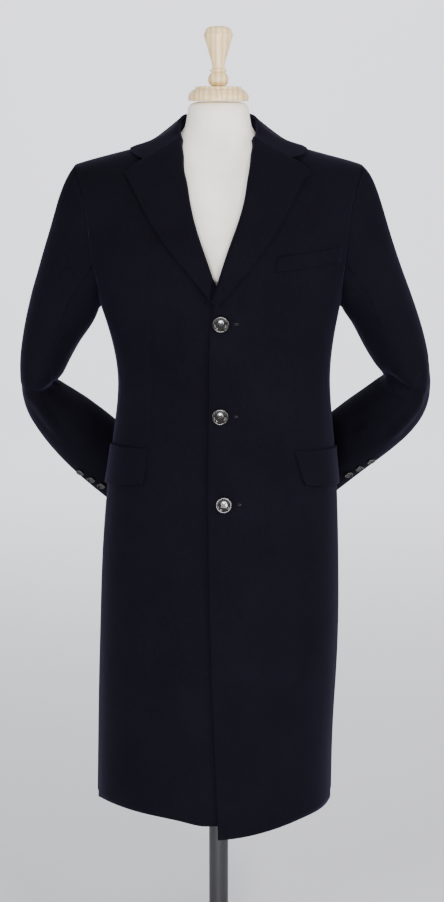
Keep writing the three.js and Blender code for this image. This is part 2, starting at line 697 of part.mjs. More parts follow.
function collarStand() {
  const stations = collarStations();
  const grid = stations.slice(1, -1).map(({ sign, row }) => {
    const [fx, fy, fz, , , footZ] = row;
    const inward = vec(-sign * fx, -(fy - 10), 0).normalize();
    const top = vec(sign * fx, fy, fz).addScaledVector(inward, STAND_TOP_IN).add(vec(0, 0, -STAND_TOP_DOWN));
    const foot = vec(sign * fx, fy, footZ).addScaledVector(inward, STAND_FOOT_IN);
    return [0, 1, 2].map((k) => foot.clone().lerp(top, k / 2));
  });
  return sheet(withNormals(grid, (p) => vec(-p.x, 10 - p.y, 0)), TRIM_WALL);
}

// ---------------------------------------------------------------- pocket flaps and breast welt
// Corners on the body as [turn in degrees, z]: front top, rear top, front bottom, rear bottom.
const FLAP_LEFT = { top: [[36, 966], [86, 954]], low: [[41.5, 905], [89, 889.5]] };
const FLAP_RIGHT = { top: [[-39, 970], [-86, 959]], low: [[-39.5, 908], [-89, 890.5]] };
const WELT = { top: [[24, 1284], [55.5, 1298]], low: [[23.5, 1260], [55.5, 1274]] };
// Grid of each, how close its seam is pressed to the coat, how far its lower edge stands off the
// coat, and what is cut from its front corner.
const FLAP_CUT = { cols: 8, rows: 3, press: 0.4, stand: 2.8, corner: 3.5 };
const WELT_CUT = { cols: 6, rows: 2, press: 0, stand: 0, corner: 0 };
const CORNER_WIDE = 0.17;     // share of the width over which the front corner is cut away

/** Cloth laid on the body between a top and a bottom line. */
function laid({ top, low }, { cols, rows, press, stand, corner }) {
  const upper = drawn(degrees(top), cols);
  const lower = drawn(degrees(low), cols);
  const grid = [];
  for (let i = 0; i <= rows; i += 1) {
    const v = i / rows;
    grid.push(upper.map((point, j) => {
      const spot = blend(lower[j], point, v);
      const near = Math.max(0, 1 - j / (cols * CORNER_WIDE)) * Math.max(0, 1 - v * rows);
      spot[1] += corner * near;
      const n = bodyNormal(...spot);
      const out = LIFT + TRIM_WALL - press + stand * (1 - v) ** 1.5;
      return { p: bodyPoint(...spot).addScaledVector(n, out), n };
    }));
  }
  return sheet(grid, TRIM_WALL, 0);
}

// ---------------------------------------------------------------- buttons
/** Manifold solid from a three.js geometry. */
function toSolid(geometry) {
  const plain = geometry.clone();
  plain.deleteAttribute('normal');
  plain.deleteAttribute('uv');
  const merged = mergeVertices(plain, 1e-4);
  return new wasm.Manifold(new wasm.Mesh({
    numProp: 3,
    vertProperties: new Float32Array(merged.attributes.position.array),
    triVerts: new Uint32Array(merged.index.array),
  }));
}
function toGeometry(manifold) {
  const { vertProperties, triVerts } = manifold.getMesh();
  const geometry = new THREE.BufferGeometry();
  geometry.setAttribute('position', new THREE.Float32BufferAttribute(vertProperties, 3));
  geometry.setIndex(new THREE.BufferAttribute(new Uint32Array(triVerts), 1));
  return geometry;
}
const turned = (profile, segments) => new THREE.LatheGeometry(
  profile.map(([r, h]) => new THREE.Vector2(r, h)), segments);

/** Button with a raised rim, a sunken middle and four thread holes; its back is at height 0, axis +Y. */
function button(r, t, segments) {
  const disc = turned([
    [0, 0], [r * 0.8, 0], [r * 0.96, t * 0.3], [r, t * 0.62], [r * 0.93, t * 0.93], [r * 0.83, t],
    [r * 0.72, t * 0.88], [r * 0.6, t * 0.62], [0, t * 0.55],
  ], segments);
  const HOLE_R = r * 0.085;
  const HOLE_AT = r * 0.2;
  let piece = toSolid(disc);
  for (const [sx, sz] of [[1, 1], [1, -1], [-1, 1], [-1, -1]]) {
    const hole = new THREE.CylinderGeometry(HOLE_R, HOLE_R, 3 * t, 8);
    hole.translate(sx * HOLE_AT, 0, sz * HOLE_AT);
    piece = piece.subtract(toSolid(hole));
  }
  return toGeometry(piece);
}

/** Where a line along -n through p first meets the outside of a mesh, with the face's normal there. */
function seatOn(mesh, { p, n }) {
  const START = 30;
  const ray = new THREE.Raycaster(p.clone().addScaledVector(n, START), n.clone().negate());
  const [hit] = ray.intersectObject(mesh);
  return { p: hit.point, n: hit.face.normal };
}

/** Sets a button on a surface point with its face along the normal. */
function seatButton(mesh, { p, n }, gap) {
  mesh.position.copy(p.clone().addScaledVector(n, gap));
  mesh.quaternion.setFromUnitVectors(vec(0, 1, 0), n);
}
const BUTTONS = [[4, 1177], [3, 1026], [9, 882]];
// Cuff buttons as [ring of the sleeve, point of the ring]; they sit in front of the elbow seam.
const CUFF_BUTTONS = {
  1: [[14, 13.6], [14.65, 13.5], [15.25, 13.3]],
  '-1': [[14.55, 14], [15.15, 13.75], [15.75, 13.5]],
};

/** Point and normal of a sleeve between the points of its rings. */
function cuffSpot(sign, [ring, place]) {
  const rings = sleevesOf[sign];
  const [i, j] = [Math.floor(ring), Math.floor(place)];
  const between = (key) => {
    const pair = [rings[i], rings[i + 1]];
    const [low, high] = pair.map((row) => row[j][key].clone().lerp(row[j + 1][key], place - j));
    return low.lerp(high, ring - i);
  };
  return { p: between('p'), n: between('n').normalize() };
}

// ---------------------------------------------------------------- dress form and stand
// A row for each level of the form: z, half width, front y, side y, back y, power.
const FORM = [
  [806, 40, -34, 8, 44, 2],
  [812, 120, -80, 8, 92, 2.2],
  [835, 156, -98, 8, 110, 2.3],
  [900, 168, -108, 8, 120, 2.3],
  [985, 158, -106, 8, 112, 2.3],
  [1070, 144, -100, 8, 95, 2.3],
  [1140, 158, -106, 9, 96, 2.3],
  [1210, 174, -112, 10, 106, 2.3],
  [1290, 186, -106, 10, 114, 2.3],
  [1350, 194, -94, 10, 108, 2.2],
  [1395, 202, -80, 10, 94, 2.2],
  [1418, 205, -68, 10, 82, 2.1],
  [1430, 199, -61, 10, 76, 2.1],
  [1438.5, 187, -57, 10, 72, 2.05],
  [1453, 134, -53, 10, 67, 2],
  [1465, 90, -47, 10, 59, 2],
  [1475, 63, -41, 9, 54, 2],
  [1484, 57, -41, 8, 51, 2],
  [1510, 52, -43, 5, 49, 2],
  [1532.6, 49.5, -45, 3, 49, 2],
];
function dressForm() {
  const AROUND_FORM = 48;
  const LEVELS = 44;
  const lines = [1, 2, 3, 4, 5].map((col) => column(FORM, col));
  const low = FORM[0][0];
  const high = FORM[FORM.length - 1][0];
  const points = [];
  for (let i = 0; i <= LEVELS; i += 1) {
    const z = lerp(low, high, i / LEVELS);
    const [half, front, side, back, power] = lines.map((line) => line(z));
    for (let k = 0; k < AROUND_FORM; k += 1) {
      const turn = (k / AROUND_FORM) * 2 * Math.PI;
      const [s, c] = [Math.sin(turn), Math.cos(turn)];
      const full = (Math.abs(s) ** power + Math.abs(c) ** power) ** (-1 / power);
      const depth = c > 0 ? side - front : back - side;
      points.push(vec(half * full * s, side - depth * full * c, z));
    }
  }
  const index = [];
  const at = (i, k) => i * AROUND_FORM + (k % AROUND_FORM);
  for (let i = 0; i < LEVELS; i += 1) {
    for (let k = 0; k < AROUND_FORM; k += 1) {
      index.push(at(i, k), at(i, k + 1), at(i + 1, k + 1), at(i, k), at(i + 1, k + 1), at(i + 1, k));
    }
  }
  const foot = points.push(vec(0, 5, low)) - 1;
  const head = points.push(vec(0, 3, high)) - 1;
  for (let k = 0; k < AROUND_FORM; k += 1) {
    index.push(foot, at(0, k + 1), at(0, k));
    index.push(head, at(LEVELS, k), at(LEVELS, k + 1));
  }
  return solid(points, index);
}

const CAP_Y = 2;              // the neck leans a little back from the pole
const CAP_DISC = [
  [0, 1533], [49.5, 1533], [50.5, 1537], [49.5, 1543], [45.5, 1549.5], [39.5, 1552.6], [38.4, 1555],
  [35.5, 1557], [0, 1557],
];
const CAP_BALL = [[0, 1557.3], [12, 1557.3], [16.4, 1563], [17.2, 1570], [14.5, 1577], [11, 1580], [0, 1580]];
const CAP_KNOB = [
  [0, 1580.3], [12.5, 1580.3], [13.8, 1582.5], [12.5, 1585], [10.3, 1587], [10.6, 1592], [14, 1606],
  [20, 1626], [23.8, 1638], [24, 1642], [22.2, 1644.6], [21.6, 1647.4], [19, 1651], [14, 1653.6], [7, 1654.8],
  [0, 1655],
];
/** Turned piece about the +Z axis. */
function lathed(profile, segments) {
  const geometry = turned(profile, segments);
  geometry.rotateX(Math.PI / 2);
  return geometry;
}

// ---------------------------------------------------------------- the object
const group = new THREE.Group();
const LOOKS = {
  wool: [0x17172a, 0.92, 0],
  facing: [0x171728, 0.9, 0],
  horn: [0x1c1a1b, 0.25, 0],
  jersey: [0xe6dfd0, 0.85, 0],
  wood: [0xc89a62, 0.45, 0],
  metal: [0x2b2b2d, 0.5, 0],
};
function add(name, geometry, look) {
  const [color, roughness, metalness] = LOOKS[look];
  const mesh = new THREE.Mesh(geometry, new THREE.MeshStandardMaterial({ color, roughness, metalness }));
  mesh.name = name;
  group.add(mesh);
  return mesh;
}
for (const [side, sign] of [['left', 1], ['right', -1]]) {
  add(`front_${side}`, sign > 0 ? leftFront() : rightFront(), 'wool');
  add(`side_panel_${side}`, sidePanel(sign), 'wool');
  add(`back_${side}`, backPanel(sign), 'wool');
}

for (const [side, sign] of [['left', 1], ['right', -1]]) {
  add(`top_sleeve_${side}`, topSleeve(sign), 'wool');
  add(`under_sleeve_${side}`, underSleeve(sign), 'wool');
  add(`lapel_${side}`, sheet(lapelsOf[sign], WALL), 'facing');
}
add('collar_fall', collarFall(), 'facing');
add('collar_stand', collarStand(), 'wool');
add('flap_left', laid(FLAP_LEFT, FLAP_CUT), 'wool');
add('flap_right', laid(FLAP_RIGHT, FLAP_CUT), 'wool');
add('breast_welt', laid(WELT, WELT_CUT), 'wool');

BUTTONS.forEach(([x, z], i) => {
  const turn = turnAt(x, z);
  const spot = { p: bodyPoint(turn, z), n: bodyNormal(turn, z) };
  const seat = seatOn(group.getObjectByName('front_left'), spot);
  seatButton(add(`front_button_${i + 1}`, button(BUTTON_R, BUTTON_T, 28), 'horn'), seat, 0.7);
});
for (const [side, sign] of [['left', 1], ['right', -1]]) {
  CUFF_BUTTONS[sign].forEach((at, i) => {
    const mesh = add(`cuff_button_${side}_${i + 1}`, button(CUFF_BUTTON_R, CUFF_BUTTON_T, 16), 'horn');
    seatButton(mesh, seatOn(group.getObjectByName(`top_sleeve_${side}`), cuffSpot(sign, at)), 0.35);
  });
}

add('dress_form', dressForm(), 'jersey');
for (const [name, profile] of [['cap_disc', CAP_DISC], ['cap_ball', CAP_BALL], ['cap_knob', CAP_KNOB]]) {
  add(name, lathed(profile, 40), 'wood').position.y = CAP_Y;
}
const POLE_TOP = FORM[0][0] - 0.3;
const POLE_FOOT = BASE_T + 0.3;
const POLE = [[0, POLE_FOOT], [POLE_R, POLE_FOOT], [POLE_R, POLE_TOP], [0, POLE_TOP]];
const BASE = [
  [0, 0], [BASE_R - 4, 0], [BASE_R, 4], [BASE_R, BASE_T - 8], [BASE_R - 8, BASE_T], [0, BASE_T],
];
add('pole', lathed(POLE, 32), 'metal');
add('base', lathed(BASE, 64), 'metal');

export default group;
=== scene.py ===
"""Looks of a long wool overcoat that hangs, buttoned, on a limbless dress form.

Metres, +Z up, the front of the coat faces -Y and the wearer's left is +X.
"""

import logging
import math
from dataclasses import dataclass, field
from enum import Enum

import bmesh
import bpy
import numpy as np
from mathutils import Matrix, Vector

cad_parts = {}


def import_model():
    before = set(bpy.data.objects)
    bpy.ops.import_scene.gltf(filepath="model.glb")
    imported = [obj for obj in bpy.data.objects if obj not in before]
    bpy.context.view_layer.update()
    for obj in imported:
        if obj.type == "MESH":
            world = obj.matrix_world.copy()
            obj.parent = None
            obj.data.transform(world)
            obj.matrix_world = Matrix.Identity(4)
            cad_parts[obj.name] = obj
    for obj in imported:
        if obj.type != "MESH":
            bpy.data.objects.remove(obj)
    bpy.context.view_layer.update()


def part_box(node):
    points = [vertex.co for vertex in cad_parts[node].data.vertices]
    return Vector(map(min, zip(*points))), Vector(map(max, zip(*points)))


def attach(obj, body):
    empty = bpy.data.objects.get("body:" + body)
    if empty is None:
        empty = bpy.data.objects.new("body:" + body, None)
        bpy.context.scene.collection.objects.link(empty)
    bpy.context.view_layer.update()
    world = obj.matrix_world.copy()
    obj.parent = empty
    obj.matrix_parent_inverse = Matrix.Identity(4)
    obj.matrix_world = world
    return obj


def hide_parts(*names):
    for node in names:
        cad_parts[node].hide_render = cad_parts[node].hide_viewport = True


LOG = logging.getLogger("overcoat")
MM = 0.001
MERGE = 0.02 * MM  # points nearer than this are one point
QUAD_BEND = math.radians(50)  # how far two triangles may bend and still become one quad
QUAD_SKEW = math.radians(70)
Point = tuple[float, float, float]


# ---------------------------------------------------------------- small helpers
def linear(code: str) -> tuple[float, float, float, float]:
    """Turns an sRGB hex colour into linear red, green, blue and alpha.

    Args:
        code: colour as "#rrggbb".

    Returns:
        The four numbers that a shader socket takes.
    """
    parts = [int(code[i : i + 2], 16) / 255 for i in (1, 3, 5)]
    red, green, blue = (c / 12.92 if c <= 0.04045 else ((c + 0.055) / 1.055) ** 2.4 for c in parts)
    return red, green, blue, 1.0


def node(
    tree: bpy.types.NodeTree,
    kind: str,
    links: dict[str | int, bpy.types.NodeSocket] | None = None,
    **settings: object,
) -> bpy.types.Node:
    """Adds one shader node.

    Args:
        tree: the material's node tree.
        kind: the node's type, such as "ShaderNodeTexNoise".
        links: input name or number to the output socket that feeds it.
        **settings: node properties; a name that is also an input sets that input's value,
            with underscores for spaces.

    Returns:
        The new node.
    """
    made = tree.nodes.new(kind)
    for name, value in settings.items():
        socket = name.replace("_", " ")
        if socket in made.inputs:
            made.inputs[socket].default_value = value
        else:
            setattr(made, name, value)
    for name, output in (links or {}).items():
        tree.links.new(output, made.inputs[name])
    return made


def ramp(
    tree: bpy.types.NodeTree, factor: bpy.types.NodeSocket, stops: list[tuple[float, str]]
) -> bpy.types.NodeSocket:
    """Adds a colour ramp.

    Args:
        tree: the material's node tree.
        factor: the socket that drives the ramp.
        stops: place and sRGB colour of each stop.

    Returns:
        The ramp's colour output.
    """
    made = node(tree, "ShaderNodeValToRGB", {"Fac": factor})
    points = made.color_ramp.elements
    while len(points) < len(stops):
        points.new(0.5)
    for point, (place, colour) in zip(points, stops):
        point.position = place
        point.color = linear(colour)
    return made.outputs["Color"]


def wave_scale(pitch_mm: float) -> float:
    """Scale of a wave texture whose bands repeat every so many millimetres.

    Args:
        pitch_mm: distance from one band to the next.

    Returns:
        The value for the texture's Scale input.
    """
    return math.pi / (10 * pitch_mm * MM)


def deselect() -> None:
    """Leaves object mode with nothing selected."""
    if bpy.context.object and bpy.context.object.mode != "OBJECT":
        bpy.ops.object.mode_set(mode="OBJECT")
    bpy.ops.object.select_all(action="DESELECT")


def activate(piece: bpy.types.Object) -> None:
    """Selects one piece alone and makes it the active one."""
    deselect()
    piece.select_set(True)
    bpy.context.view_layer.objects.active = piece


def apply_modifier(piece: bpy.types.Object, kind: str, **settings: object) -> None:
    """Adds a modifier to a piece and applies it.

    Args:
        piece: the object to change.
        kind: the modifier's type, such as "SUBSURF".
        **settings: the modifier's properties.
    """
    activate(piece)
    modifier = piece.modifiers.new(kind.title(), kind)
    for name, value in settings.items():
        setattr(modifier, name, value)
    bpy.ops.object.modifier_apply(modifier=modifier.name)


def quad_copy(source: str, name: str) -> bpy.types.Object:
    """Copies a CAD node's mesh into a new object, merges its doubles and turns it to quads.

    Args:
        source: the CAD node.
        name: the new object's name.

    Returns:
        The new object, in object mode.
    """
    piece = bpy.data.objects.new(name, bpy.data.objects[source].data.copy())
    bpy.context.scene.collection.objects.link(piece)
    activate(piece)
    bpy.ops.object.mode_set(mode="EDIT")
    bpy.ops.mesh.select_all(action="SELECT")
    bpy.ops.mesh.remove_doubles(threshold=MERGE)
    bpy.ops.mesh.tris_convert_to_quads(face_threshold=QUAD_BEND, shape_threshold=QUAD_SKEW)
    bpy.ops.object.mode_set(mode="OBJECT")
    return piece


def settle(piece: bpy.types.Object) -> None:
    """Puts a piece's place into its mesh, so that its object sits unturned at the origin."""
    activate(piece)
    bpy.ops.object.transform_apply(location=True, rotation=True, scale=True)


def smooth(piece: bpy.types.Object, angle: float = 40.0) -> None:
    """Shades a piece smooth where its faces meet at less than an angle in degrees."""
    activate(piece)
    bpy.ops.object.shade_smooth_by_angle(angle=math.radians(angle), keep_sharp_edges=False)


def ease(value: np.ndarray | float) -> np.ndarray | float:
    """Smooth step from 0 to 1."""
    held = np.clip(value, 0.0, 1.0)
    return held * held * (3 - 2 * held)


# ---------------------------------------------------------------- finishes
class Slot(Enum):
    """The record's material slots."""

    WOOL = "wool"
    HORN = "horn"
    JERSEY = "jersey"
    WOOD = "turned_wood"
    PAINT = "stand_paint"


@dataclass(frozen=True)
class WoolCoating:
    """Milled wool coating, woven as a twill and then raised and brushed.

    The nap hides the weave: the eye sees a deep, matt navy with a soft bluish edge where fibres
    catch the light, faint upright brushing and slow clouds of lighter and darker nap.
    """

    deep: str = "#06050a"
    face: str = "#0a0910"
    raised: str = "#110f19"
    sheen_tint: str = "#706896"
    sheen: float = 0.125
    sheen_roughness: float = 0.4
    roughness: float = 0.88
    nap_mm: float = 1.6
    cloud_mm: float = 90.0
    lint_mm: float = 9.0
    nap_depth: float = 0.35
    nap_height_mm: float = 0.8
    nap_share: float = 0.42
    specular: float = 0.045

    def build(self) -> bpy.types.Material:
        """Makes the material and returns it."""
        material = bpy.data.materials.new("milled_wool_coating")
        material.use_nodes = True
        tree = material.node_tree
        shader = tree.nodes["Principled BSDF"]
        place = node(tree, "ShaderNodeTexCoord").outputs["Object"]
        # Brushing lies down the cloth, so the nap pattern is three times longer than it is wide.
        brushed = node(tree, "ShaderNodeMapping", {"Vector": place}, Scale=(1.0, 1.0, 0.34)).outputs["Vector"]
        cloud_scale = 1 / (self.cloud_mm * MM)
        clouds = node(tree, "ShaderNodeTexNoise", {"Vector": place}, Scale=cloud_scale, Detail=2.0)
        nap = node(tree, "ShaderNodeTexNoise", {"Vector": brushed}, Scale=1 / (self.nap_mm * MM), Detail=3.0)
        lint_scale = 1 / (self.lint_mm * MM)
        lint = node(tree, "ShaderNodeTexNoise", {"Vector": brushed}, Scale=lint_scale, Detail=4.0)
        slow = ramp(tree, clouds.outputs["Fac"], [(0.3, self.deep), (0.7, self.face)])
        fine = ramp(tree, nap.outputs["Fac"], [(0.3, self.deep), (0.72, self.raised)])
        mixed = node(tree, "ShaderNodeMix", data_type="RGBA")
        mixed.inputs[0].default_value = self.nap_share
        tree.links.new(slow, mixed.inputs[6])
        tree.links.new(fine, mixed.inputs[7])
        tree.links.new(mixed.outputs[2], shader.inputs["Base Color"])
        together = node(tree, "ShaderNodeMath", operation="ADD")
        tree.links.new(nap.outputs["Fac"], together.inputs[0])
        tree.links.new(lint.outputs["Fac"], together.inputs[1])
        bump = node(
            tree, "ShaderNodeBump", {"Height": together.outputs[0]},
            Strength=self.nap_depth, Distance=self.nap_height_mm * MM,
        )
        tree.links.new(bump.outputs["Normal"], shader.inputs["Normal"])
        shader.inputs["Roughness"].default_value = self.roughness
        shader.inputs["Specular IOR Level"].default_value = self.specular
        shader.inputs["Sheen Weight"].default_value = self.sheen
        shader.inputs["Sheen Roughness"].default_value = self.sheen_roughness
        shader.inputs["Sheen Tint"].default_value = linear(self.sheen_tint)
        return material


@dataclass(frozen=True)
class PolishedHorn:
    """Buffalo horn, turned and polished: near black with brown streaks under a wet gloss."""

    dark: str = "#080707"
    streak: str = "#241c16"
    streak_mm: float = 5.0
    gloss: float = 0.09
    ior: float = 1.55

    def build(self) -> bpy.types.Material:
        """Makes the material and returns it."""
        material = bpy.data.materials.new("polished_buffalo_horn")
        material.use_nodes = True
        tree = material.node_tree
        shader = tree.nodes["Principled BSDF"]
        place = node(tree, "ShaderNodeTexCoord").outputs["Object"]
        grain = node(tree, "ShaderNodeMapping", {"Vector": place}, Scale=(1.0, 1.0, 4.0)).outputs["Vector"]
        streaks = node(
            tree, "ShaderNodeTexNoise", {"Vector": grain},
            Scale=1 / (self.streak_mm * MM), Detail=3.0, Distortion=1.2,
        )
        colour = ramp(tree, streaks.outputs["Fac"], [(0.45, self.dark), (0.75, self.streak)])
        tree.links.new(colour, shader.inputs["Base Color"])
        shader.inputs["Roughness"].default_value = self.gloss
        shader.inputs["IOR"].default_value = self.ior
        return material


@dataclass(frozen=True)
class CottonJersey:
    """Knitted cotton jersey: a matt, off-white skin with fine upright ribs of stitches."""

    light: str = "#f4f1e7"
    shade: str = "#ece7da"
    rib_mm: float = 1.8
    cloud_mm: float = 40.0
    roughness: float = 0.85
    sheen: float = 0.15

    def build(self) -> bpy.types.Material:
        """Makes the material and returns it."""
        material = bpy.data.materials.new("cotton_jersey")
        material.use_nodes = True
        tree = material.node_tree
        shader = tree.nodes["Principled BSDF"]
        place = node(tree, "ShaderNodeTexCoord").outputs["Object"]
        rib_scale = wave_scale(self.rib_mm)
        ribs = node(tree, "ShaderNodeTexWave", {"Vector": place}, Scale=rib_scale, Distortion=0.6)
        cloud_scale = 1 / (self.cloud_mm * MM)
        clouds = node(tree, "ShaderNodeTexNoise", {"Vector": place}, Scale=cloud_scale, Detail=3.0)
        colour = ramp(tree, clouds.outputs["Fac"], [(0.35, self.shade), (0.65, self.light)])
        tree.links.new(colour, shader.inputs["Base Color"])
        bump = node(tree, "ShaderNodeBump", {"Height": ribs.outputs["Fac"]}, Strength=0.25, Distance=0.3 * MM)
        tree.links.new(bump.outputs["Normal"], shader.inputs["Normal"])
        shader.inputs["Roughness"].default_value = self.roughness
        shader.inputs["Sheen Weight"].default_value = self.sheen
        return material


@dataclass(frozen=True)
class VarnishedBeech:
    """Turned beech under clear satin varnish: pale honey wood, long grain and small dark flecks."""

    pale: str = "#ecd3a2"
    grain: str = "#dab980"
    fleck: str = "#e6d6bc"
    ring_mm: float = 9.0
    fleck_mm: float = 1.6
    fleck_share: float = 0.8
    roughness: float = 0.38
    varnish: float = 0.35
    varnish_roughness: float = 0.2

    def build(self) -> bpy.types.Material:
        """Makes the material and returns it."""
        material = bpy.data.materials.new("varnished_beech")
        material.use_nodes = True
        tree = material.node_tree
        shader = tree.nodes["Principled BSDF"]
        place = node(tree, "ShaderNodeTexCoord").outputs["Object"]
        along = node(tree, "ShaderNodeMapping", {"Vector": place}, Scale=(1.0, 0.8, 0.14)).outputs["Vector"]
        rings = node(
            tree, "ShaderNodeTexWave", {"Vector": along}, Scale=wave_scale(self.ring_mm),
            Distortion=5.0, Detail=3.0, Detail_Scale=1.4,
        )
        fleck_scale = 1 / (self.fleck_mm * MM)
        flecks = node(tree, "ShaderNodeTexNoise", {"Vector": along}, Scale=fleck_scale, Detail=2.0)
        wood = ramp(tree, rings.outputs["Fac"], [(0.15, self.pale), (0.95, self.grain)])
        dots = ramp(tree, flecks.outputs["Fac"], [(0.58, "#ffffff"), (0.75, self.fleck)])
        mixed = node(tree, "ShaderNodeMix", data_type="RGBA", blend_type="MULTIPLY")
        mixed.inputs[0].default_value = self.fleck_share
        tree.links.new(wood, mixed.inputs[6])
        tree.links.new(dots, mixed.inputs[7])
        tree.links.new(mixed.outputs[2], shader.inputs["Base Color"])
        shader.inputs["Roughness"].default_value = self.roughness
        shader.inputs["Coat Weight"].default_value = self.varnish
        shader.inputs["Coat Roughness"].default_value = self.varnish_roughness
        return material


@dataclass(frozen=True)
class SatinPaint:
    """Steel under satin black stoving paint: even, slightly orange-peeled, with a broad soft gloss."""

    colour: str = "#1b1b1d"
    lighter: str = "#232326"
    peel_mm: float = 2.5
    roughness: float = 0.42

    def build(self) -> bpy.types.Material:
        """Makes the material and returns it."""
        material = bpy.data.materials.new("satin_black_paint")
        material.use_nodes = True
        tree = material.node_tree
        shader = tree.nodes["Principled BSDF"]
        place = node(tree, "ShaderNodeTexCoord").outputs["Object"]
        peel = node(tree, "ShaderNodeTexNoise", {"Vector": place}, Scale=1 / (self.peel_mm * MM), Detail=2.0)
        colour = ramp(tree, peel.outputs["Fac"], [(0.3, self.colour), (0.7, self.lighter)])
        tree.links.new(colour, shader.inputs["Base Color"])
        bump = node(tree, "ShaderNodeBump", {"Height": peel.outputs["Fac"]}, Strength=0.08, Distance=0.2 * MM)
        tree.links.new(bump.outputs["Normal"], shader.inputs["Normal"])
        shader.inputs["Roughness"].default_value = self.roughness
        return material


@dataclass(frozen=True)
class WaxedThread:
    """Twisted polyester buttonhole thread, waxed: navy with a thin silky line along each ply."""

    colour: str = "#0a0910"
    glint: str = "#14131d"
    ply_mm: float = 0.9
    roughness: float = 0.6
    sheen: float = 0.2

    def build(self) -> bpy.types.Material:
        """Makes the material and returns it."""
        material = bpy.data.materials.new("waxed_navy_thread")
        material.use_nodes = True
        tree = material.node_tree
        shader = tree.nodes["Principled BSDF"]
        place = node(tree, "ShaderNodeTexCoord").outputs["Object"]
        ply_scale = wave_scale(self.ply_mm)
        ply = node(tree, "ShaderNodeTexWave", {"Vector": place}, Scale=ply_scale, Distortion=0.4)
        colour = ramp(tree, ply.outputs["Fac"], [(0.2, self.colour), (0.9, self.glint)])
        tree.links.new(colour, shader.inputs["Base Color"])
        shader.inputs["Roughness"].default_value = self.roughness
        shader.inputs["Sheen Weight"].default_value = self.sheen
        return material


@dataclass(frozen=True)
class StudioPaper:
    """Seamless pale grey studio paper: even and quite matt."""

    colour: str = "#dddee1"
    roughness: float = 0.95

    def build(self) -> bpy.types.Material:
        """Makes the material and returns it."""
        material = bpy.data.materials.new("studio_paper")
        material.use_nodes = True
        tree = material.node_tree
        shader = tree.nodes["Principled BSDF"]
        shader.inputs["Base Color"].default_value = linear(self.colour)
        shader.inputs["Roughness"].default_value = self.roughness
        return material


@dataclass
class Finishes:
    """Every material of the object, built once."""

    wool: bpy.types.Material = field(default_factory=lambda: WoolCoating().build())
    horn: bpy.types.Material = field(default_factory=lambda: PolishedHorn().build())
    jersey: bpy.types.Material = field(default_factory=lambda: CottonJersey().build())
    beech: bpy.types.Material = field(default_factory=lambda: VarnishedBeech().build())
    paint: bpy.types.Material = field(default_factory=lambda: SatinPaint().build())
    thread: bpy.types.Material = field(default_factory=lambda: WaxedThread().build())
    paper: bpy.types.Material = field(default_factory=lambda: StudioPaper().build())


def dress(piece: bpy.types.Object, material: bpy.types.Material, slot: Slot, *nodes: str) -> bpy.types.Object:
    """Gives a piece its material and ties it to the frame.

    Args:
        piece: the finished piece.
        material: its material.
        slot: not used.
        *nodes: the CAD nodes that it stands for.

    Returns:
        The same piece.
    """
    piece.data.materials.clear()
    piece.data.materials.append(material)
    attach(piece, "root")
    if nodes:
        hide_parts(*nodes)
    LOG.info("%s: %d faces", piece.name, len(piece.data.polygons))
    return piece


# ---------------------------------------------------------------- cloth
class Face(Enum):
    """Which side of the body or sleeve a crease lies on."""

    FRONT = -1
    BACK = 1


FADE = 0.3  # share of a crease's length over which each end fades
END_DEPTH = 0.35  # share of the depth that is left at its ends
SWELL = 0.28  # height of the swelling beside a trough, as a share of the depth
SWELL_AT = 1.9  # where the swelling is highest, in widths from the middle
FACE_BLEND = 12 * MM  # distance over which a crease dies away round the side of the body
FACE_SHARE = 0.3  # how far past the side that fade reaches, as a share of the distance


@dataclass(frozen=True)
class Crease:
    """A soft trough (or a ridge, with a negative depth) between two points seen from the front, in mm."""

    start: tuple[float, float]
    end: tuple[float, float]
    depth: float
    width: float
    face: Face = Face.FRONT

    def shift(self, co: np.ndarray, middle_y: np.ndarray) -> np.ndarray:
        """How far in each point moves.

        Args:
            co: the points, in metres.
            middle_y: y of the body's or sleeve's middle beside each point.

        Returns:
            One inward distance for each point, in metres.
        """
        a = np.array(self.start) * MM
        b = np.array(self.end) * MM
        run = b - a
        length = max(float(np.hypot(*run)), 1e-6)
        flat = co[:, (0, 2)] - a
        along = (flat @ run) / (length * length)
        held = np.clip(along, 0, 1)
        away = np.linalg.norm(flat - held[:, None] * run, axis=1) / (self.width * MM)
        ends = ease(held / FADE) * ease((1 - held) / FADE)
        sharp = np.exp(-away * away) * (END_DEPTH + (1 - END_DEPTH) * ends)
        # Beside a trough the cloth swells a little, as a pressed fold does.
        swell = SWELL * np.exp(-((away - SWELL_AT) ** 2) / 0.5)
        amount = self.depth * MM * (sharp - swell * ends)
        return amount * ease((co[:, 1] - middle_y) * self.face.value / FACE_BLEND + FACE_SHARE)


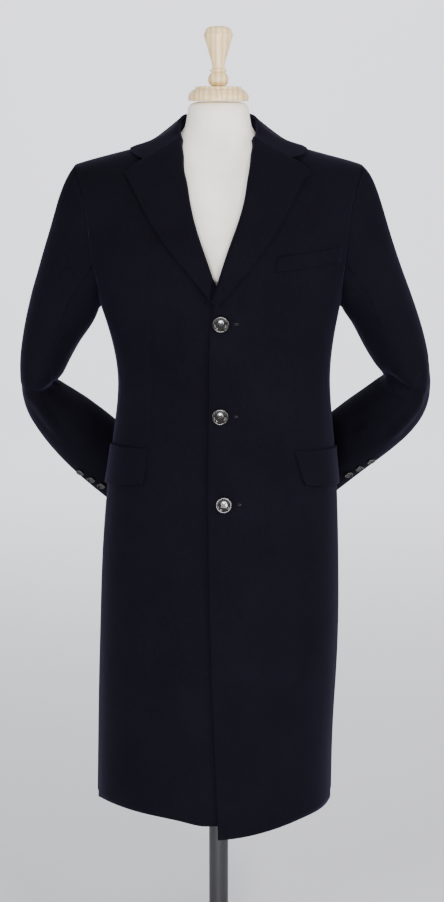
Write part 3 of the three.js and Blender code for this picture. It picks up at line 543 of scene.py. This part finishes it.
@dataclass
class ClothPiece:
    """One cut piece of coating: the CAD wall, smoothed, creased and finished as cloth.

    The spine is the line inside the body or sleeve that creases press towards, in mm. sunk is how
    many mm the whole piece is pressed in, rim_angle the bend in degrees from which an edge stays
    sharp, and corner_angle the turn of a rim from which its corner does.
    """

    name: str
    flat: tuple[float, float]
    area: float
    held: str
    rests_on: tuple[str, ...]
    creases: tuple[Crease, ...] = ()
    spine: tuple[Point, ...] = ((0.0, 10.0, 0.0), (0.0, 10.0, 1600.0))
    levels: int = 3
    rim_angle: float = 62.0
    corner_angle: float = 38.0
    sunk: float = 0.0

    def cage(self) -> bpy.types.Object:
        """Copies the CAD node as quads and marks its rims and corners as sharp.

        Returns:
            The new piece, still coarse.
        """
        piece = quad_copy(self.name, f"{self.name}_cloth")
        mesh = bmesh.new()
        mesh.from_mesh(piece.data)
        crease = mesh.edges.layers.float.get("crease_edge") or mesh.edges.layers.float.new("crease_edge")
        for edge in mesh.edges:
            if len(edge.link_faces) == 2 and edge.calc_face_angle() > math.radians(self.rim_angle):
                edge[crease] = 1.0
        corner = mesh.verts.layers.float.get("crease_vert") or mesh.verts.layers.float.new("crease_vert")
        for vertex in mesh.verts:
            rims = [edge.other_vert(vertex).co - vertex.co for edge in vertex.link_edges if edge[crease] > 0]
            turned = len(rims) == 2 and rims[0].angle(-rims[1]) > math.radians(self.corner_angle)
            if turned or len(rims) > 2:
                vertex[corner] = 1.0
        mesh.to_mesh(piece.data)
        mesh.free()
        return piece

    def outward(self, co: np.ndarray) -> tuple[np.ndarray, np.ndarray]:
        """Direction away from the piece's spine at each point.

        Args:
            co: the points, in metres.

        Returns:
            The unit directions, and the y of the spine beside each point.
        """
        line = np.array(self.spine) * MM
        best = np.full(len(co), np.inf)
        nearest = np.zeros_like(co)
        for a, b in zip(line[:-1], line[1:]):
            run = b - a
            share = np.clip(((co - a) @ run) / (run @ run), 0, 1)
            spot = a + share[:, None] * run
            gap = np.linalg.norm(co - spot, axis=1)
            closer = gap < best
            best[closer] = gap[closer]
            nearest[closer] = spot[closer]
        way = co - nearest
        return way / np.maximum(np.linalg.norm(way, axis=1), 1e-6)[:, None], nearest[:, 1]

    def fold(self, piece: bpy.types.Object) -> None:
        """Presses the piece's creases into its mesh, both faces of the cloth together."""
        count = len(piece.data.vertices)
        co = np.empty(count * 3)
        piece.data.vertices.foreach_get("co", co)
        co = co.reshape(-1, 3)
        way, middle_y = self.outward(co)
        total = np.full(count, self.sunk * MM)
        for crease in self.creases:
            total += crease.shift(co, middle_y)
        co -= way * total[:, None]
        piece.data.vertices.foreach_set("co", co.ravel())
        piece.data.update()

    def build(self, finishes: Finishes) -> bpy.types.Object:
        """Args:
            finishes: the object's materials.

        Returns:
            The finished piece.
        """
        piece = self.cage()
        apply_modifier(piece, "SUBSURF", levels=self.levels, render_levels=self.levels)
        if self.creases or self.sunk:
            self.fold(piece)
        smooth(piece, 48)
        dress(piece, finishes.wool, Slot.WOOL, self.name)
        return piece


@dataclass
class Overcoat:
    """All the cloth of the coat, left and right, from the hem up to the collar.

    The fields are the flat size of each cut piece, width and length in metres.
    """

    front: tuple[float, float] = (0.33, 1.2)
    side: tuple[float, float] = (0.095, 0.9)
    back: tuple[float, float] = (0.27, 1.16)
    top_sleeve: tuple[float, float] = (0.21, 0.66)
    under_sleeve: tuple[float, float] = (0.15, 0.56)
    lapel: tuple[float, float] = (0.085, 0.27)
    flap: tuple[float, float] = (0.066, 0.165)
    collar_fall: tuple[float, float] = (0.078, 0.46)
    collar_stand: tuple[float, float] = (0.026, 0.36)
    welt: tuple[float, float] = (0.026, 0.115)

    def front_creases(self, sign: int) -> tuple[Crease, ...]:
        """Dart, drag lines and skirt folds of a front; sign is +1 on the wearer's left."""
        dart = 131 if sign > 0 else -112
        return (
            Crease((dart, 1205), (dart, 975), 2.2, 3.8),
            Crease((sign * 150, 1120), (sign * 60, 1040), 1.6, 20),
            Crease((sign * 175, 1085), (sign * 80, 1075), 1.4, 14),
            Crease((sign * 120, 860), (sign * 105, 470), 2.6, 24),
            Crease((sign * 60, 840), (sign * 55, 420), -1.8, 26),
            Crease((sign * 175, 1235), (sign * 120, 1150), 2.2, 20),
            Crease((sign * 30, 1050), (sign * 95, 1088), 1.0, 12),
        )

    def back_creases(self, sign: int) -> tuple[Crease, ...]:
        """Waist drags and upright skirt folds of a back."""
        return (
            Crease((sign * 150, 1135), (sign * 50, 1060), 2.4, 20, Face.BACK),
            Crease((sign * 165, 1085), (sign * 70, 1075), 1.8, 16, Face.BACK),
            Crease((sign * 170, 1260), (sign * 110, 1180), 2.6, 22, Face.BACK),
            Crease((sign * 110, 840), (sign * 118, 450), 3.0, 26, Face.BACK),
            Crease((sign * 50, 820), (sign * 58, 420), -2.2, 26, Face.BACK),
        )

    def sleeve_creases(self, sign: int) -> tuple[Crease, ...]:
        """Elbow folds of a sleeve: the upper arm bags over a sharp fold, and a pressed seam runs below it."""
        bend = {
            1: (
                Crease((283, 1077), (320, 1049), 7.5, 7), Crease((312, 1053), (350, 1037), 6.5, 7.5),
                Crease((300, 1092), (342, 1066), -4.5, 12), Crease((350, 1104), (354, 1060), -2.6, 6),
                Crease((354, 1058), (340, 1014), -4.4, 7), Crease((342, 1018), (294, 952), -4.2, 8),
                Crease((250, 1012), (300, 1034), -2.2, 12), Crease((228, 968), (252, 990), 3.0, 9),
            ),
            -1: (
                Crease((-272, 1060), (-297, 1040), 7.5, 7), Crease((-291, 1042), (-319, 1040), 7.0, 7.5),
                Crease((-313, 1038), (-329, 1056), 4.5, 7), Crease((-282, 1076), (-318, 1060), -5.0, 12),
                Crease((-330, 1064), (-318, 1036), -3.6, 7), Crease((-320, 1042), (-276, 962), -4.4, 8),
                Crease((-246, 1010), (-286, 1036), -2.4, 12), Crease((-222, 968), (-246, 996), 2.4, 9),
            ),
        }[sign]
        x = 1.0 if sign > 0 else 0.965
        return bend + (
            Crease((sign * 262 * x, 1112), (sign * 330 * x, 1128), 2.0, 14),
            Crease((sign * 232, 1180), (sign * 262, 1290), 2.2, 14),
            Crease((sign * 250, 1150), (sign * 292, 1250), 1.8, 16),
            Crease((sign * 284 * x, 1066), (sign * 352 * x, 1040), 5.0, 9, Face.BACK),
            Crease((sign * 270 * x, 1090), (sign * 340 * x, 1100), 3.0, 12, Face.BACK),
            Crease((sign * 235, 1190), (sign * 270, 1300), 2.2, 16, Face.BACK),
        )

    def sleeve_spine(self, sign: int) -> tuple[Point, ...]:
        """Middle line of a sleeve from the armhole to the cuff."""
        wide = 0.0 if sign < 0 else 8.0
        return (
            (sign * 215, 8, 1330), (sign * (262 + wide), 24, 1190), (sign * (300 + 2 * wide), 46, 1085),
            (sign * (304 + 2 * wide), 62, 1035), (sign * (268 + wide), 98, 982),
            (sign * (178 + wide / 2), 166, 884),
        )

    def pieces(self) -> list[ClothPiece]:
        """Every piece of cloth in the order in which a tailor joins them."""
        made: list[ClothPiece] = []
        for side, sign in (("left", 1), ("right", -1)):
            arm = self.sleeve_spine(sign)
            folds = self.sleeve_creases(sign)
            front = f"front_{side}_cloth"
            top = f"top_sleeve_{side}_cloth"
            made += [
                ClothPiece(
                    f"front_{side}", self.front, 0.295, "hung", ("dress_form",), self.front_creases(sign)
                ),
                ClothPiece(f"side_panel_{side}", self.side, 0.078, "hung", (front,)),
                ClothPiece(
                    f"back_{side}", self.back, 0.268, "hung", ("dress_form",), self.back_creases(sign)
                ),
                ClothPiece(f"top_sleeve_{side}", self.top_sleeve, 0.113, "hung", (front,), folds, arm),
                ClothPiece(f"under_sleeve_{side}", self.under_sleeve, 0.071, "hung", (top,), folds, arm),
                ClothPiece(f"lapel_{side}", self.lapel, 0.0175, "folded", (front,), rim_angle=70.0),
                ClothPiece(f"flap_{side}", self.flap, 0.0098, "hung", (front,), sunk=1.1),
            ]
        made += [
            ClothPiece(
                "collar_fall", self.collar_fall, 0.0325, "folded", ("collar_stand_cloth",), rim_angle=70.0
            ),
            ClothPiece("collar_stand", self.collar_stand, 0.0056, "folded", ("dress_form",)),
            ClothPiece("breast_welt", self.welt, 0.0029, "laid", ("front_left_cloth",), sunk=1.3),
        ]
        return made

    def build(self, finishes: Finishes) -> None:
        """Builds every piece of cloth."""
        for piece in self.pieces():
            piece.build(finishes)


# ---------------------------------------------------------------- buttons
def spun(name: str, outline: list[tuple[float, float]], steps: int = 64) -> bpy.types.Object:
    """Turns an outline about +Z, as on a lathe.

    Args:
        name: the piece's name.
        outline: radius and height of each point in metres, from the foot of the axis to its top.
        steps: faces round the axis.

    Returns:
        A closed piece about the Z axis.
    """
    deselect()
    bpy.ops.mesh.primitive_circle_add(vertices=3, radius=MM)
    piece = bpy.context.object
    piece.name = name
    bpy.ops.object.mode_set(mode="EDIT")
    bpy.ops.mesh.select_all(action="SELECT")
    bpy.ops.mesh.merge(type="CENTER")
    bpy.ops.transform.translate(value=(outline[0][0], 0, outline[0][1]))
    for (r0, h0), (r1, h1) in zip(outline, outline[1:]):
        bpy.ops.mesh.extrude_region_move(TRANSFORM_OT_translate={"value": (r1 - r0, 0, h1 - h0)})
    bpy.ops.mesh.select_all(action="SELECT")
    bpy.ops.mesh.spin(steps=steps, angle=math.tau, center=(0, 0, 0), axis=(0, 0, 1), use_auto_merge=True)
    bpy.ops.mesh.select_all(action="SELECT")
    bpy.ops.mesh.remove_doubles(threshold=0.005 * MM)
    bpy.ops.mesh.normals_make_consistent(inside=False)
    bpy.ops.object.mode_set(mode="OBJECT")
    return piece


@dataclass
class Buttons:
    """Front and cuff buttons: raised rim, sunken middle and four thread holes, sewn with a cross.

    The hole and thread sizes are shares of a button's radius, but thread_level is one of its
    thickness. A button nearer the middle than front_reach is a front button; the others face
    roughly along cuff_facing on the wearer's left.
    """

    front_radius: float = 13.7 * MM
    front_height: float = 4.6 * MM
    cuff_radius: float = 7.6 * MM
    cuff_height: float = 3.4 * MM
    hole_spread: float = 0.2
    hole_radius: float = 0.085
    thread_radius: float = 0.035
    thread_flat: float = 0.34
    thread_apart: float = 0.0448
    thread_level: float = 0.45
    front_reach: float = 100 * MM
    cuff_facing: Point = (0.6, -0.3, -0.7)

    def blank(self, name: str, r: float, t: float) -> bpy.types.Object:
        """A drilled button with its back at height 0, facing +Z.

        Args:
            name: the piece's name.
            r: radius in metres.
            t: thickness in metres.

        Returns:
            The button.
        """
        piece = spun(name, [
            (0, 0), (r * 0.8, 0), (r * 0.93, t * 0.14), (r * 0.99, t * 0.4), (r, t * 0.62),
            (r * 0.97, t * 0.82), (r * 0.9, t * 0.97), (r * 0.84, t), (r * 0.77, t * 0.95),
            (r * 0.69, t * 0.76), (r * 0.6, t * 0.62), (r * 0.4, t * 0.55), (0, t * 0.53),
        ], 56)
        for sx, sy in ((1, 1), (1, -1), (-1, 1), (-1, -1)):
            deselect()
            bpy.ops.mesh.primitive_cylinder_add(
                vertices=16, radius=r * self.hole_radius, depth=4 * t,
                location=(sx * r * self.hole_spread, sy * r * self.hole_spread, 0),
            )
            drill = bpy.context.object
            apply_modifier(piece, "BOOLEAN", operation="DIFFERENCE", object=drill, solver="EXACT")
            bpy.data.objects.remove(drill)
        return piece

    def stitches(self, name: str, r: float, t: float) -> bpy.types.Object:
        """Two crossed bars of thread that hold a button down, in the button's own place."""
        bars = []
        for turn in (math.radians(45), math.radians(135)):
            for side in (-1, 1):
                deselect()
                off = side * self.thread_apart * r
                bpy.ops.mesh.primitive_torus_add(
                    major_segments=18, minor_segments=8, major_radius=r * self.hole_spread * 1.4142,
                    minor_radius=r * self.thread_radius, rotation=(math.pi / 2, 0, turn),
                    location=(-math.sin(turn) * off, math.cos(turn) * off, t * self.thread_level),
                )
                bar = bpy.context.object
                bar.scale = (1, self.thread_flat, 1)
                settle(bar)
                bars.append(bar)
        deselect()
        for bar in bars:
            bar.select_set(True)
        bpy.context.view_layer.objects.active = bars[0]
        bpy.ops.object.join()
        bars[0].name = name
        return bars[0]

    def seat(self, node_name: str) -> Matrix:
        """Place and direction of a CAD button, from its mesh.

        Args:
            node_name: the CAD button.

        Returns:
            A matrix that carries +Z to the button's face.
        """
        mesh = bpy.data.objects[node_name].data
        co = np.array([v.co for v in mesh.vertices])
        middle = co.mean(0)
        _, axes = np.linalg.eigh(np.cov((co - middle).T))
        face = Vector(axes[:, 0]).normalized()
        outside = Vector((0, -1, 0))
        if abs(middle[0]) > self.front_reach:
            out, front, up = self.cuff_facing
            outside = Vector((math.copysign(out, middle[0]), front, up))
        if face.dot(outside) < 0:
            face.negate()
        low = min((Vector(p) - Vector(middle)).dot(face) for p in co)
        spot = Vector(middle) + face * low
        turn = Vector((0, 0, 1)).rotation_difference(face).to_matrix().to_4x4()
        return Matrix.Translation(spot) @ turn

    def copy(
        self, source: bpy.types.Object, name: str, place: Matrix, material: bpy.types.Material, slot: Slot,
        *nodes: str,
    ) -> None:
        """Places a copy of a piece with a mesh of its own.

        Args:
            source: the piece that is copied.
            name: the copy's name.
            place: where it goes.
            material: its material.
            slot: its slot in the record.
            *nodes: the CAD nodes that it stands for.
        """
        piece = bpy.data.objects.new(name, source.data.copy())
        bpy.context.scene.collection.objects.link(piece)
        piece.data.transform(place)
        smooth(piece, 35)
        dress(piece, material, slot, *nodes)

    def build(self, finishes: Finishes) -> None:
        """Makes one button of each size and seats a copy at every CAD button."""
        kinds = (
            ("front_button", self.front_radius, self.front_height, [f"front_button_{i}" for i in (1, 2, 3)]),
            (
                "cuff_button", self.cuff_radius, self.cuff_height,
                [f"cuff_button_{side}_{i}" for side in ("left", "right") for i in (1, 2, 3)],
            ),
        )
        for kind, r, t, names in kinds:
            master = self.blank(f"{kind}_blank", r, t)
            threads = self.stitches(f"{kind}_threads", r, t)
            for name in names:
                place = self.seat(name)
                self.copy(master, f"{name}_horn", place, finishes.horn, Slot.HORN, name)
                self.copy(threads, f"{name}_thread", place, finishes.thread, Slot.WOOL)
            bpy.data.objects.remove(master)
            bpy.data.objects.remove(threads)


@dataclass
class Buttonholes:
    """Keyhole buttonholes of the left front, worked in thread, running outward from each button."""

    length: float = 31 * MM
    half_width: float = 1.2 * MM
    thread: float = 0.45 * MM
    stand: float = -0.15 * MM
    plain_depth: float = -150 * MM

    def build(self, finishes: Finishes) -> None:
        """Works one buttonhole behind each front button."""
        front = bpy.data.objects["front_left_cloth"]
        for index in (1, 2, 3):
            low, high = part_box(f"front_button_{index}")
            middle = (low + high) / 2
            self.work(f"buttonhole_{index}", front, middle.x - 4 * MM, middle.z, finishes)

    def work(self, name: str, front: bpy.types.Object, x: float, z: float, finishes: Finishes) -> None:
        """Makes one buttonhole: a long torus of thread laid on the cloth.

        Args:
            name: the piece's name.
            front: the cloth that it is worked in.
            x: where its eye lies, behind the button.
            z: its height.
            finishes: the object's materials.
        """
        deselect()
        bpy.ops.mesh.primitive_torus_add(
            major_segments=72, minor_segments=8, major_radius=self.half_width, minor_radius=self.thread,
            rotation=(math.pi / 2, 0, 0), location=(0, 0, 0),
        )
        piece = bpy.context.object
        piece.name = name
        settle(piece)
        for vertex in piece.data.vertices:
            if vertex.co.x > 0:
                vertex.co.x += self.length
            start = Vector((x + vertex.co.x, -1, z + vertex.co.z))
            hit, spot, _, _ = front.ray_cast(start, Vector((0, 1, 0)))
            depth = spot.y if hit else self.plain_depth
            vertex.co = Vector((x + vertex.co.x, depth - self.stand + vertex.co.y * 0.7, z + vertex.co.z))
        smooth(piece, 60)
        dress(piece, finishes.thread, Slot.WOOL)


# ---------------------------------------------------------------- dress form and stand
@dataclass
class DressForm:
    """The covered torso, its turned neck cap, pole and base."""

    cap_y: float = 2 * MM
    levels: int = 1

    def torso(self, finishes: Finishes) -> None:
        """Smooths the CAD torso into a jersey-covered form."""
        piece = quad_copy("dress_form", "dress_form_jersey")
        apply_modifier(piece, "SUBSURF", levels=self.levels, render_levels=self.levels)
        smooth(piece, 50)
        dress(piece, finishes.jersey, Slot.JERSEY, "dress_form")

    def cap(self, finishes: Finishes) -> None:
        """Turns the disc, the ball and the knob of the neck cap."""
        parts = {
            "cap_disc": [
                (0, 1533), (47.5, 1533), (49.6, 1533.8), (50.5, 1536.5), (50.4, 1540), (49.4, 1543.6),
                (47.4, 1547), (44.8, 1549.9), (41.8, 1551.9), (39.2, 1552.6), (38.7, 1553.2), (38.9, 1554.4),
                (38.2, 1556), (36, 1557), (0, 1557),
            ],
            "cap_ball": [
                (0, 1557.3), (11, 1557.3), (13.4, 1559.2), (15.8, 1562.2), (17.1, 1566), (17.2, 1570),
                (16, 1574), (13.6, 1577.6), (11, 1580), (0, 1580),
            ],
            "cap_knob": [
                (0, 1580.3), (12.2, 1580.3), (13.5, 1581.3), (13.8, 1582.6), (13.2, 1584.2), (11, 1585.6),
                (10.2, 1588), (10.5, 1592), (11.9, 1598), (14.3, 1606.5), (17.2, 1616.5), (20.4, 1627),
                (22.8, 1634.5), (23.9, 1639), (24, 1641.6), (23.2, 1643.6), (22.2, 1644.5),
                (21.9, 1645.3), (21.9, 1647), (20.8, 1649.4), (18, 1651.8), (14, 1653.6), (8, 1654.7),
                (0, 1655),
            ],
        }
        for name, outline in parts.items():
            piece = spun(f"{name}_beech", [(r * MM, h * MM) for r, h in outline], 96)
            piece.location.y = self.cap_y
            settle(piece)
            smooth(piece, 42)
            dress(piece, finishes.beech, Slot.WOOD, name)

    def stand(self, finishes: Finishes) -> None:
        """Turns the pole and the weighted base with its rounded rim."""
        low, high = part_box("pole")
        r = (high.x - low.x) / 2
        pole = spun("pole_painted", [
            (0, low.z), (r, low.z), (r, low.z + MM), (r, (low.z + high.z) / 2), (r, high.z - MM),
            (r, high.z), (0, high.z),
        ], 72)
        smooth(pole, 42)
        dress(pole, finishes.paint, Slot.PAINT, "pole")
        floor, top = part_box("base")
        r = (top.x - floor.x) / 2
        t = top.z
        base = spun("base_painted", [
            (0, 0), (r - 5 * MM, 0), (r - 2 * MM, 0.8 * MM), (r - 0.3 * MM, 3 * MM), (r, 6 * MM),
            (r, t - 9 * MM), (r - 1.2 * MM, t - 5 * MM), (r - 4.2 * MM, t - 1.8 * MM), (r - 9 * MM, t),
            (0, t),
        ], 128)
        smooth(base, 42)
        dress(base, finishes.paint, Slot.PAINT, "base")

    def build(self, finishes: Finishes) -> None:
        """Builds the form and all that holds it."""
        self.torso(finishes)
        self.cap(finishes)
        self.stand(finishes)


# ---------------------------------------------------------------- studio
@dataclass(frozen=True)
class Lamp:
    """A soft box: where it stands, its size in metres, its watts, its colour and what it faces."""

    name: str
    place: Point
    size: tuple[float, float]
    watts: float
    colour: str
    aim: Point = (0, 0, 1.0)

    def hang(self) -> None:
        """Adds the lamp to the scene."""
        data = bpy.data.lights.new(self.name, "AREA")
        data.shape = "RECTANGLE"
        data.size, data.size_y = self.size
        data.energy = self.watts
        data.color = linear(self.colour)[:3]
        light = bpy.data.objects.new(self.name, data)
        light.location = self.place
        facing = Vector(self.aim) - Vector(self.place)
        light.rotation_euler = facing.to_track_quat("-Z", "Y").to_euler()
        bpy.context.scene.collection.objects.link(light)


LAMPS = (
    Lamp("soft_left", (-2.4, -2.8, 1.9), (1.4, 1.6), 55, "#fffdfa"),
    Lamp("soft_right", (3.0, -1.5, 1.8), (1.2, 1.8), 74, "#f6f6ff"),
    Lamp("soft_top", (0, 0.4, 3.6), (2.4, 1.6), 22, "#f6f6ff"),
    Lamp("key_right", (1.1, -2.4, 2.5), (0.45, 0.45), 42, "#fff8ec", (0, 0, 1.45)),
    Lamp("soft_low", (-0.2, -3.0, 0.5), (0.6, 0.8), 84, "#f8f8ff"),
    Lamp("wall_wash", (0, 3.6, 4.6), (7.0, 1.0), 610, "#fbfbff", (0, 8.0, 1.6)),
)


@dataclass
class Studio:
    """Pale sweep, soft lights and a camera a little above the collar that looks down."""

    eye: Point = (0.006, -3.2, 1.53)
    tilt: float = 10.38
    focal: float = 1900.0
    frame_height: int = 902
    sensor: float = 24.0
    wall_y: float = 6.0
    sweep_radius: float = 2.0
    sweep_steps: int = 24
    room: float = 0.76

    def sweep(self, finishes: Finishes) -> None:
        """A floor that curves up into a wall behind the coat."""
        deselect()
        bpy.ops.mesh.primitive_plane_add(size=30.0, location=(0, 0, 0))
        floor = bpy.context.object
        floor.name = "studio_sweep"
        bpy.ops.object.mode_set(mode="EDIT")
        bpy.ops.mesh.select_all(action="SELECT")
        bpy.ops.mesh.bisect(plane_co=(0, self.wall_y, 0), plane_no=(0, 1, 0), clear_outer=True)
        bpy.ops.object.mode_set(mode="OBJECT")
        for edge in floor.data.edges:
            ends = [floor.data.vertices[i].co.y for i in edge.vertices]
            edge.select = min(ends) > self.wall_y - 0.01
        for vertex in floor.data.vertices:
            vertex.select = vertex.co.y > self.wall_y - 0.01
        bpy.ops.object.mode_set(mode="EDIT")
        for i in range(self.sweep_steps):
            a0 = math.pi / 2 * i / self.sweep_steps
            a1 = math.pi / 2 * (i + 1) / self.sweep_steps
            out, up = math.sin(a1) - math.sin(a0), math.cos(a0) - math.cos(a1)
            move = (0, self.sweep_radius * out, self.sweep_radius * up)
            bpy.ops.mesh.extrude_region_move(TRANSFORM_OT_translate={"value": move})
        bpy.ops.mesh.extrude_region_move(TRANSFORM_OT_translate={"value": (0, 0, 4.0)})
        bpy.ops.object.mode_set(mode="OBJECT")
        settle(floor)
        smooth(floor, 60)
        floor.data.materials.append(finishes.paper)

    def lights(self) -> None:
        """Broad soft boxes at both sides, above and low in front, a small key, a wall wash and the room."""
        world = bpy.data.worlds.new("room")
        world.use_nodes = True
        back = world.node_tree.nodes["Background"]
        back.inputs["Color"].default_value = linear("#f4f4f6")
        back.inputs["Strength"].default_value = self.room
        bpy.context.scene.world = world
        for lamp in LAMPS:
            lamp.hang()

    def camera(self) -> None:
        """The camera, with no shift and nothing out of focus."""
        data = bpy.data.cameras.new("camera")
        data.sensor_fit = "VERTICAL"
        data.sensor_height = self.sensor
        data.lens = self.sensor * self.focal / self.frame_height
        camera = bpy.data.objects.new("camera", data)
        camera.location = self.eye
        camera.rotation_euler = (math.radians(90 - self.tilt), 0, 0)
        bpy.context.scene.collection.objects.link(camera)
        bpy.context.scene.camera = camera

    def build(self, finishes: Finishes) -> None:
        """Sets up the floor, the lights and the camera."""
        self.sweep(finishes)
        self.lights()
        self.camera()


def main() -> None:
    """Builds the coat, its buttons, the dress form and the studio."""
    logging.basicConfig(level=logging.INFO, format="%(name)s %(message)s")
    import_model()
    deselect()
    finishes = Finishes()
    Overcoat().build(finishes)
    Buttons().build(finishes)
    Buttonholes().build(finishes)
    DressForm().build(finishes)
    Studio().build(finishes)


if __name__ == "__main__":
    main()
